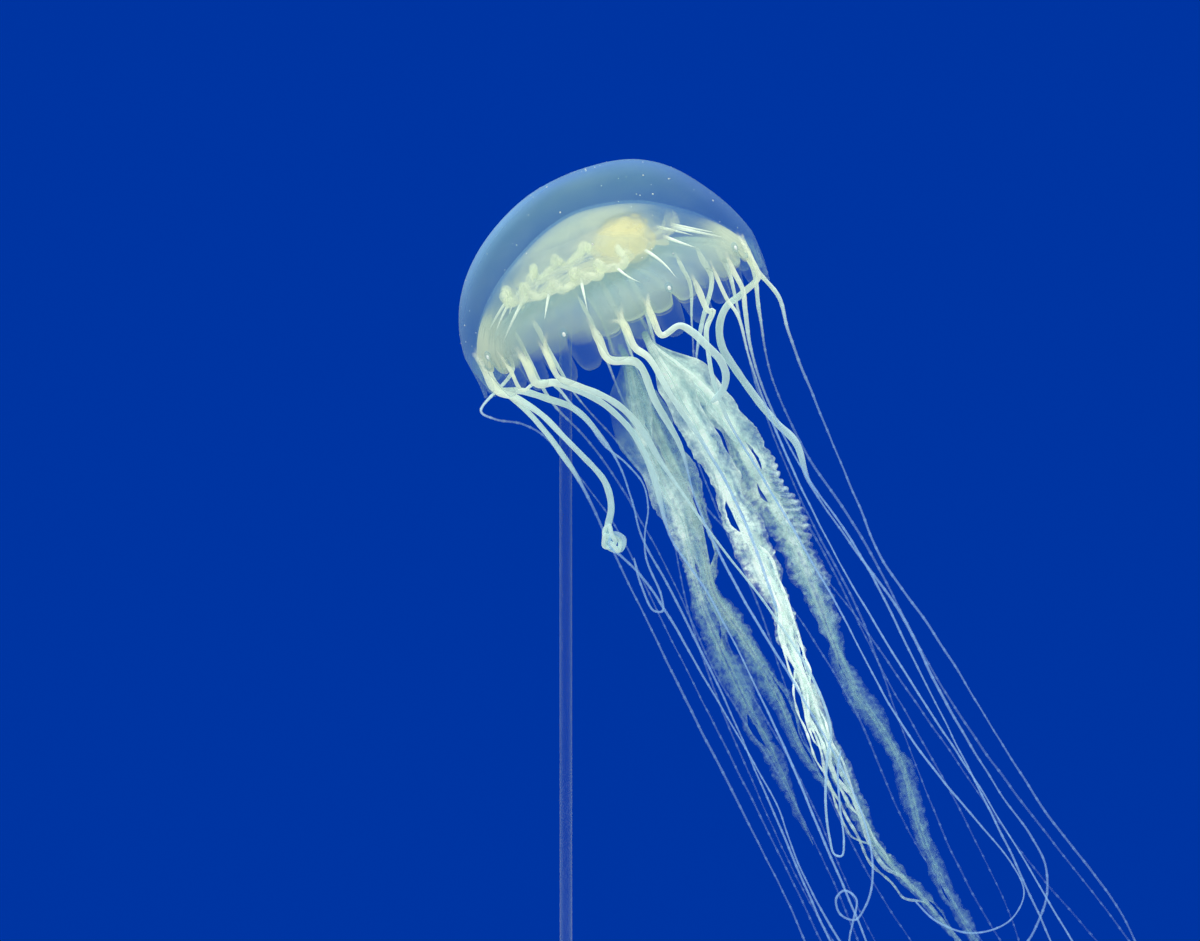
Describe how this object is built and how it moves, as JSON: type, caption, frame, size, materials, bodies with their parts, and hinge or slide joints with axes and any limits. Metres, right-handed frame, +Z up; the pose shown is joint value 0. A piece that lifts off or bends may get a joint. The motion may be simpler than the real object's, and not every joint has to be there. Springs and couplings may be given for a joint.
{
  "type": "jellyfish display model",
  "caption": "Still life-size model of a white bay nettle jellyfish: clear domed bell, yellow stomach, frilled mouth arms and long trailing tentacles, held on a flat base by slim rods.",
  "frame": {"origin": "middle of the stand base's underside, on the surface that the stand rests on", "axes": "+Z up; the arms and tentacles trail towards +X and down, the bell leans to -X and a little to -Y, and -Y is the side first seen"},
  "size_m": [0.241, 0.1, 0.3228],
  "materials": {
    "clear_jelly": "clear, wet, faintly blue jelly with fine pale freckles",
    "stomach_flesh": "milky yellow-cream, paler and clearer towards the rim",
    "arm_flesh": "milky mint-white, thin and clearer at the frills",
    "tentacle_flesh": "milky white, cream at the root, clearer at the thin end",
    "stand_base": "satin white",
    "stand_rod": "clear polished acrylic"
  },
  "bodies": {
    "root": {"arm_back_lower": "arm_flesh", "arm_back_upper": "arm_flesh", "arm_front_lower": "arm_flesh", "arm_front_upper": "arm_flesh", "arm_left_lower": "arm_flesh", "arm_left_upper": "arm_flesh", "arm_right_lower": "arm_flesh", "arm_right_upper": "arm_flesh", "bell_dome": "clear_jelly", "bell_lappets": "clear_jelly", "mouth_stem": "arm_flesh", "stand_base": "stand_base", "stand_rod_bell": "stand_rod", "stand_rod_tail": "stand_rod", "stomach": "stomach_flesh", "tentacle_01_lower": "tentacle_flesh", "tentacle_01_upper": "tentacle_flesh", "tentacle_02": "tentacle_flesh", "tentacle_03": "tentacle_flesh", "tentacle_05_lower": "tentacle_flesh", "tentacle_05_upper": "tentacle_flesh", "tentacle_06_lower": "tentacle_flesh", "tentacle_06_upper": "tentacle_flesh", "tentacle_07_lower": "tentacle_flesh", "tentacle_07_upper": "tentacle_flesh", "tentacle_09_lower": "tentacle_flesh", "tentacle_09_upper": "tentacle_flesh", "tentacle_10_lower": "tentacle_flesh", "tentacle_10_upper": "tentacle_flesh", "tentacle_11_lower": "tentacle_flesh", "tentacle_11_upper": "tentacle_flesh", "tentacle_13_lower": "tentacle_flesh", "tentacle_13_upper": "tentacle_flesh", "tentacle_14_lower": "tentacle_flesh", "tentacle_14_upper": "tentacle_flesh", "tentacle_15_lower": "tentacle_flesh", "tentacle_15_upper": "tentacle_flesh", "tentacle_17_lower": "tentacle_flesh", "tentacle_17_upper": "tentacle_flesh", "tentacle_18_lower": "tentacle_flesh", "tentacle_18_upper": "tentacle_flesh", "tentacle_19_lower": "tentacle_flesh", "tentacle_19_upper": "tentacle_flesh", "tentacle_21_lower": "tentacle_flesh", "tentacle_21_upper": "tentacle_flesh", "tentacle_22_lower": "tentacle_flesh", "tentacle_22_upper": "tentacle_flesh", "tentacle_23_lower": "tentacle_flesh", "tentacle_23_upper": "tentacle_flesh", "tentacle_25_lower": "tentacle_flesh", "tentacle_25_upper": "tentacle_flesh", "tentacle_26_lower": "tentacle_flesh", "tentacle_26_upper": "tentacle_flesh", "tentacle_27_lower": "tentacle_flesh", "tentacle_27_upper": "tentacle_flesh", "tentacle_29_lower": "tentacle_flesh", "tentacle_29_upper": "tentacle_flesh", "tentacle_30_lower": "tentacle_flesh", "tentacle_30_upper": "tentacle_flesh", "tentacle_31": "tentacle_flesh"}
  },
  "joints": []
}
